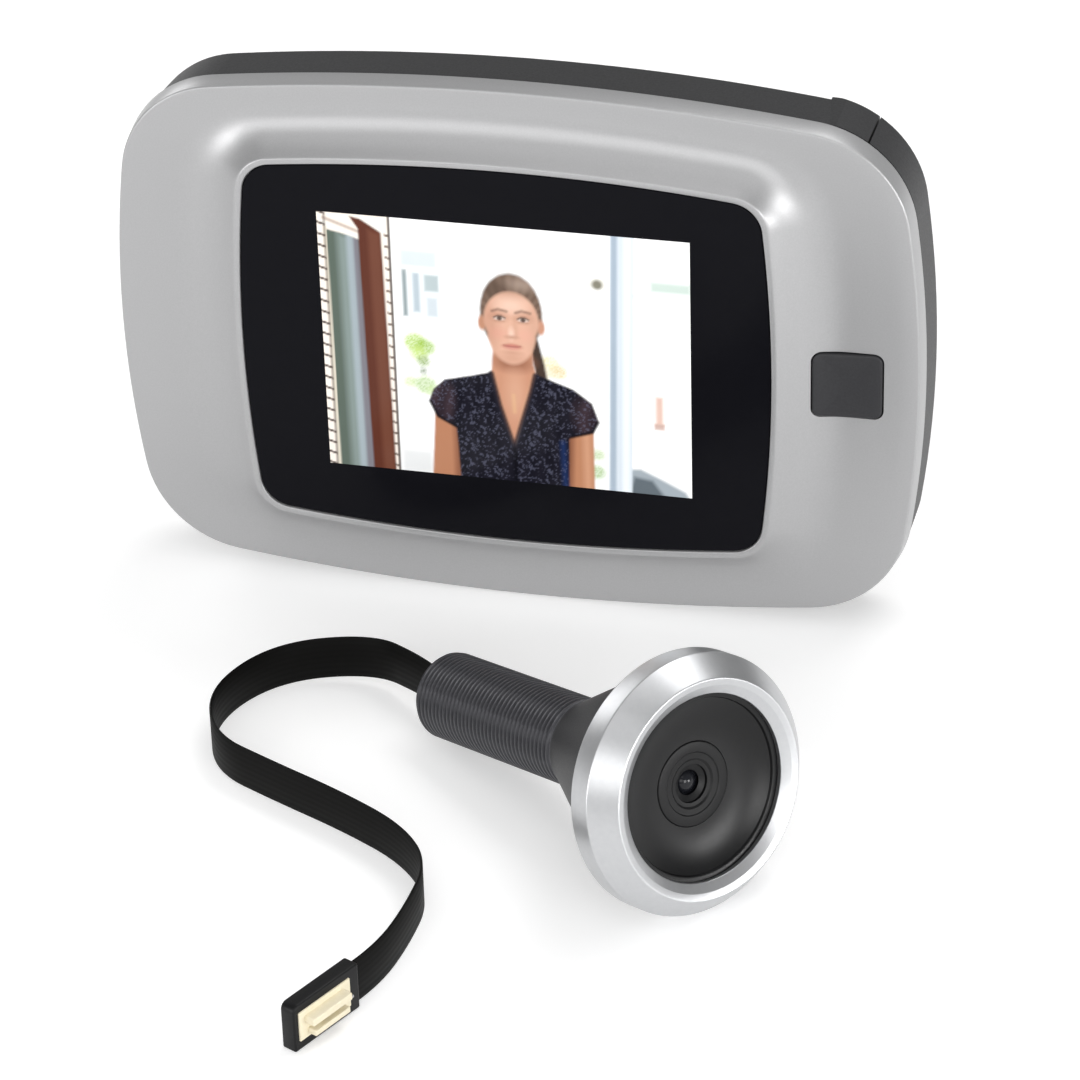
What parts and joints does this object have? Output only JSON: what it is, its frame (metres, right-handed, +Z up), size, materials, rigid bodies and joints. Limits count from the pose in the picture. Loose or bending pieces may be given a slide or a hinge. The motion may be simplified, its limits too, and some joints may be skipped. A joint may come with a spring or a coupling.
{
  "type": "door viewer camera set",
  "caption": "Door viewer set: upright display unit with bowed silver shell, screen and key, mounting plate and clamp nut, and a lens unit with barrel and ribbon.",
  "frame": {"origin": "bottom centre of the bounding box of the set as it stands on the table, without the ribbon and its connector", "axes": "+Z up from the table, the screen faces -Y, +X to the right of a person who looks at the screen"},
  "size_m": [0.1248, 0.1354, 0.0855],
  "materials": {
    "silver_shell": "satin silver paint on moulded ABS",
    "dark_shell": "fine-textured dark grey ABS",
    "window_black": "polished black-bordered cover",
    "button_dark": "satin moulded key",
    "foam": "closed-cell foam",
    "screen_glass": "polarised screen glass",
    "folded_steel": "thin folded sheet",
    "circuit_board": "solder-masked laminate",
    "package_black": "moulded epoxy",
    "nylon_cream": "natural nylon",
    "cell_wrap": "shrink sleeve over a steel can",
    "spring_nickel": "nickel-plated strip",
    "screw_steel": "blackened steel",
    "plate_steel": "zinc-plated steel",
    "nut_brass": "turned brass",
    "ring_metal": "satin nickel over a turned ring",
    "lens_black": "satin black moulding",
    "lens_glass": "coated glass",
    "body_black": "black anodised, satin",
    "ribbon_black": "black film"
  },
  "bodies": {
    "display_unit": {"front_shell": "silver_shell", "screen_window": "window_black", "lcd_gasket": "foam", "lcd_panel": "screen_glass", "lcd_tray": "folded_steel", "lcd_pad": "foam", "main_board": "circuit_board", "board_chips": "package_black", "ribbon_socket": "nylon_cream", "button_switch": "package_black", "switch_board": "circuit_board", "rear_shell": "dark_shell", "battery_cells": "cell_wrap", "battery_contacts": "spring_nickel", "housing_screws": "screw_steel"},
    "view_button": {"view_button": "button_dark", "switch_plunger": "nylon_cream"},
    "battery_cover": {"battery_cover": "dark_shell"},
    "mounting_plate": {"mounting_plate": "plate_steel"},
    "clamp_nut": {"clamp_nut": "nut_brass"},
    "lens_unit": {"trim_ring": "ring_metal", "camera_bowl": "lens_black", "lens_retainer": "lens_black", "front_lens": "lens_glass", "lens_tube": "lens_black", "sensor_board": "circuit_board", "camera_body": "body_black", "cable_plug": "lens_black", "ribbon_cable": "ribbon_black", "connector_shell": "lens_black", "connector_socket": "nylon_cream", "connector_pins": "spring_nickel"}
  },
  "joints": [
    {"name": "view_button_press", "type": "slide", "parent": "display_unit", "child": "view_button", "axis": [0, 1, 0], "range_m": [0, 0.0005], "stiffness_N_per_m": 600, "springref_m": -0.0015},
    {"name": "battery_cover_slide", "type": "slide", "parent": "display_unit", "child": "battery_cover", "axis": [1, 0, 0], "range_m": [0, 0.012]},
    {"name": "mounting_plate_release", "type": "slide", "parent": "display_unit", "child": "mounting_plate", "axis": [0, 0, -1], "range_m": [0, 0.0075]},
    {"name": "clamp_nut_turn", "type": "hinge", "parent": "mounting_plate", "child": "clamp_nut", "pos_m": [-0.028, 0.05, 0.04655], "axis": [0, 1, 0], "continuous": true},
    {"name": "lens_unit_lift", "type": "slide", "parent": "display_unit", "child": "lens_unit", "axis": [0, 0, 1], "range_m": [0, 0.05]}
  ]
}
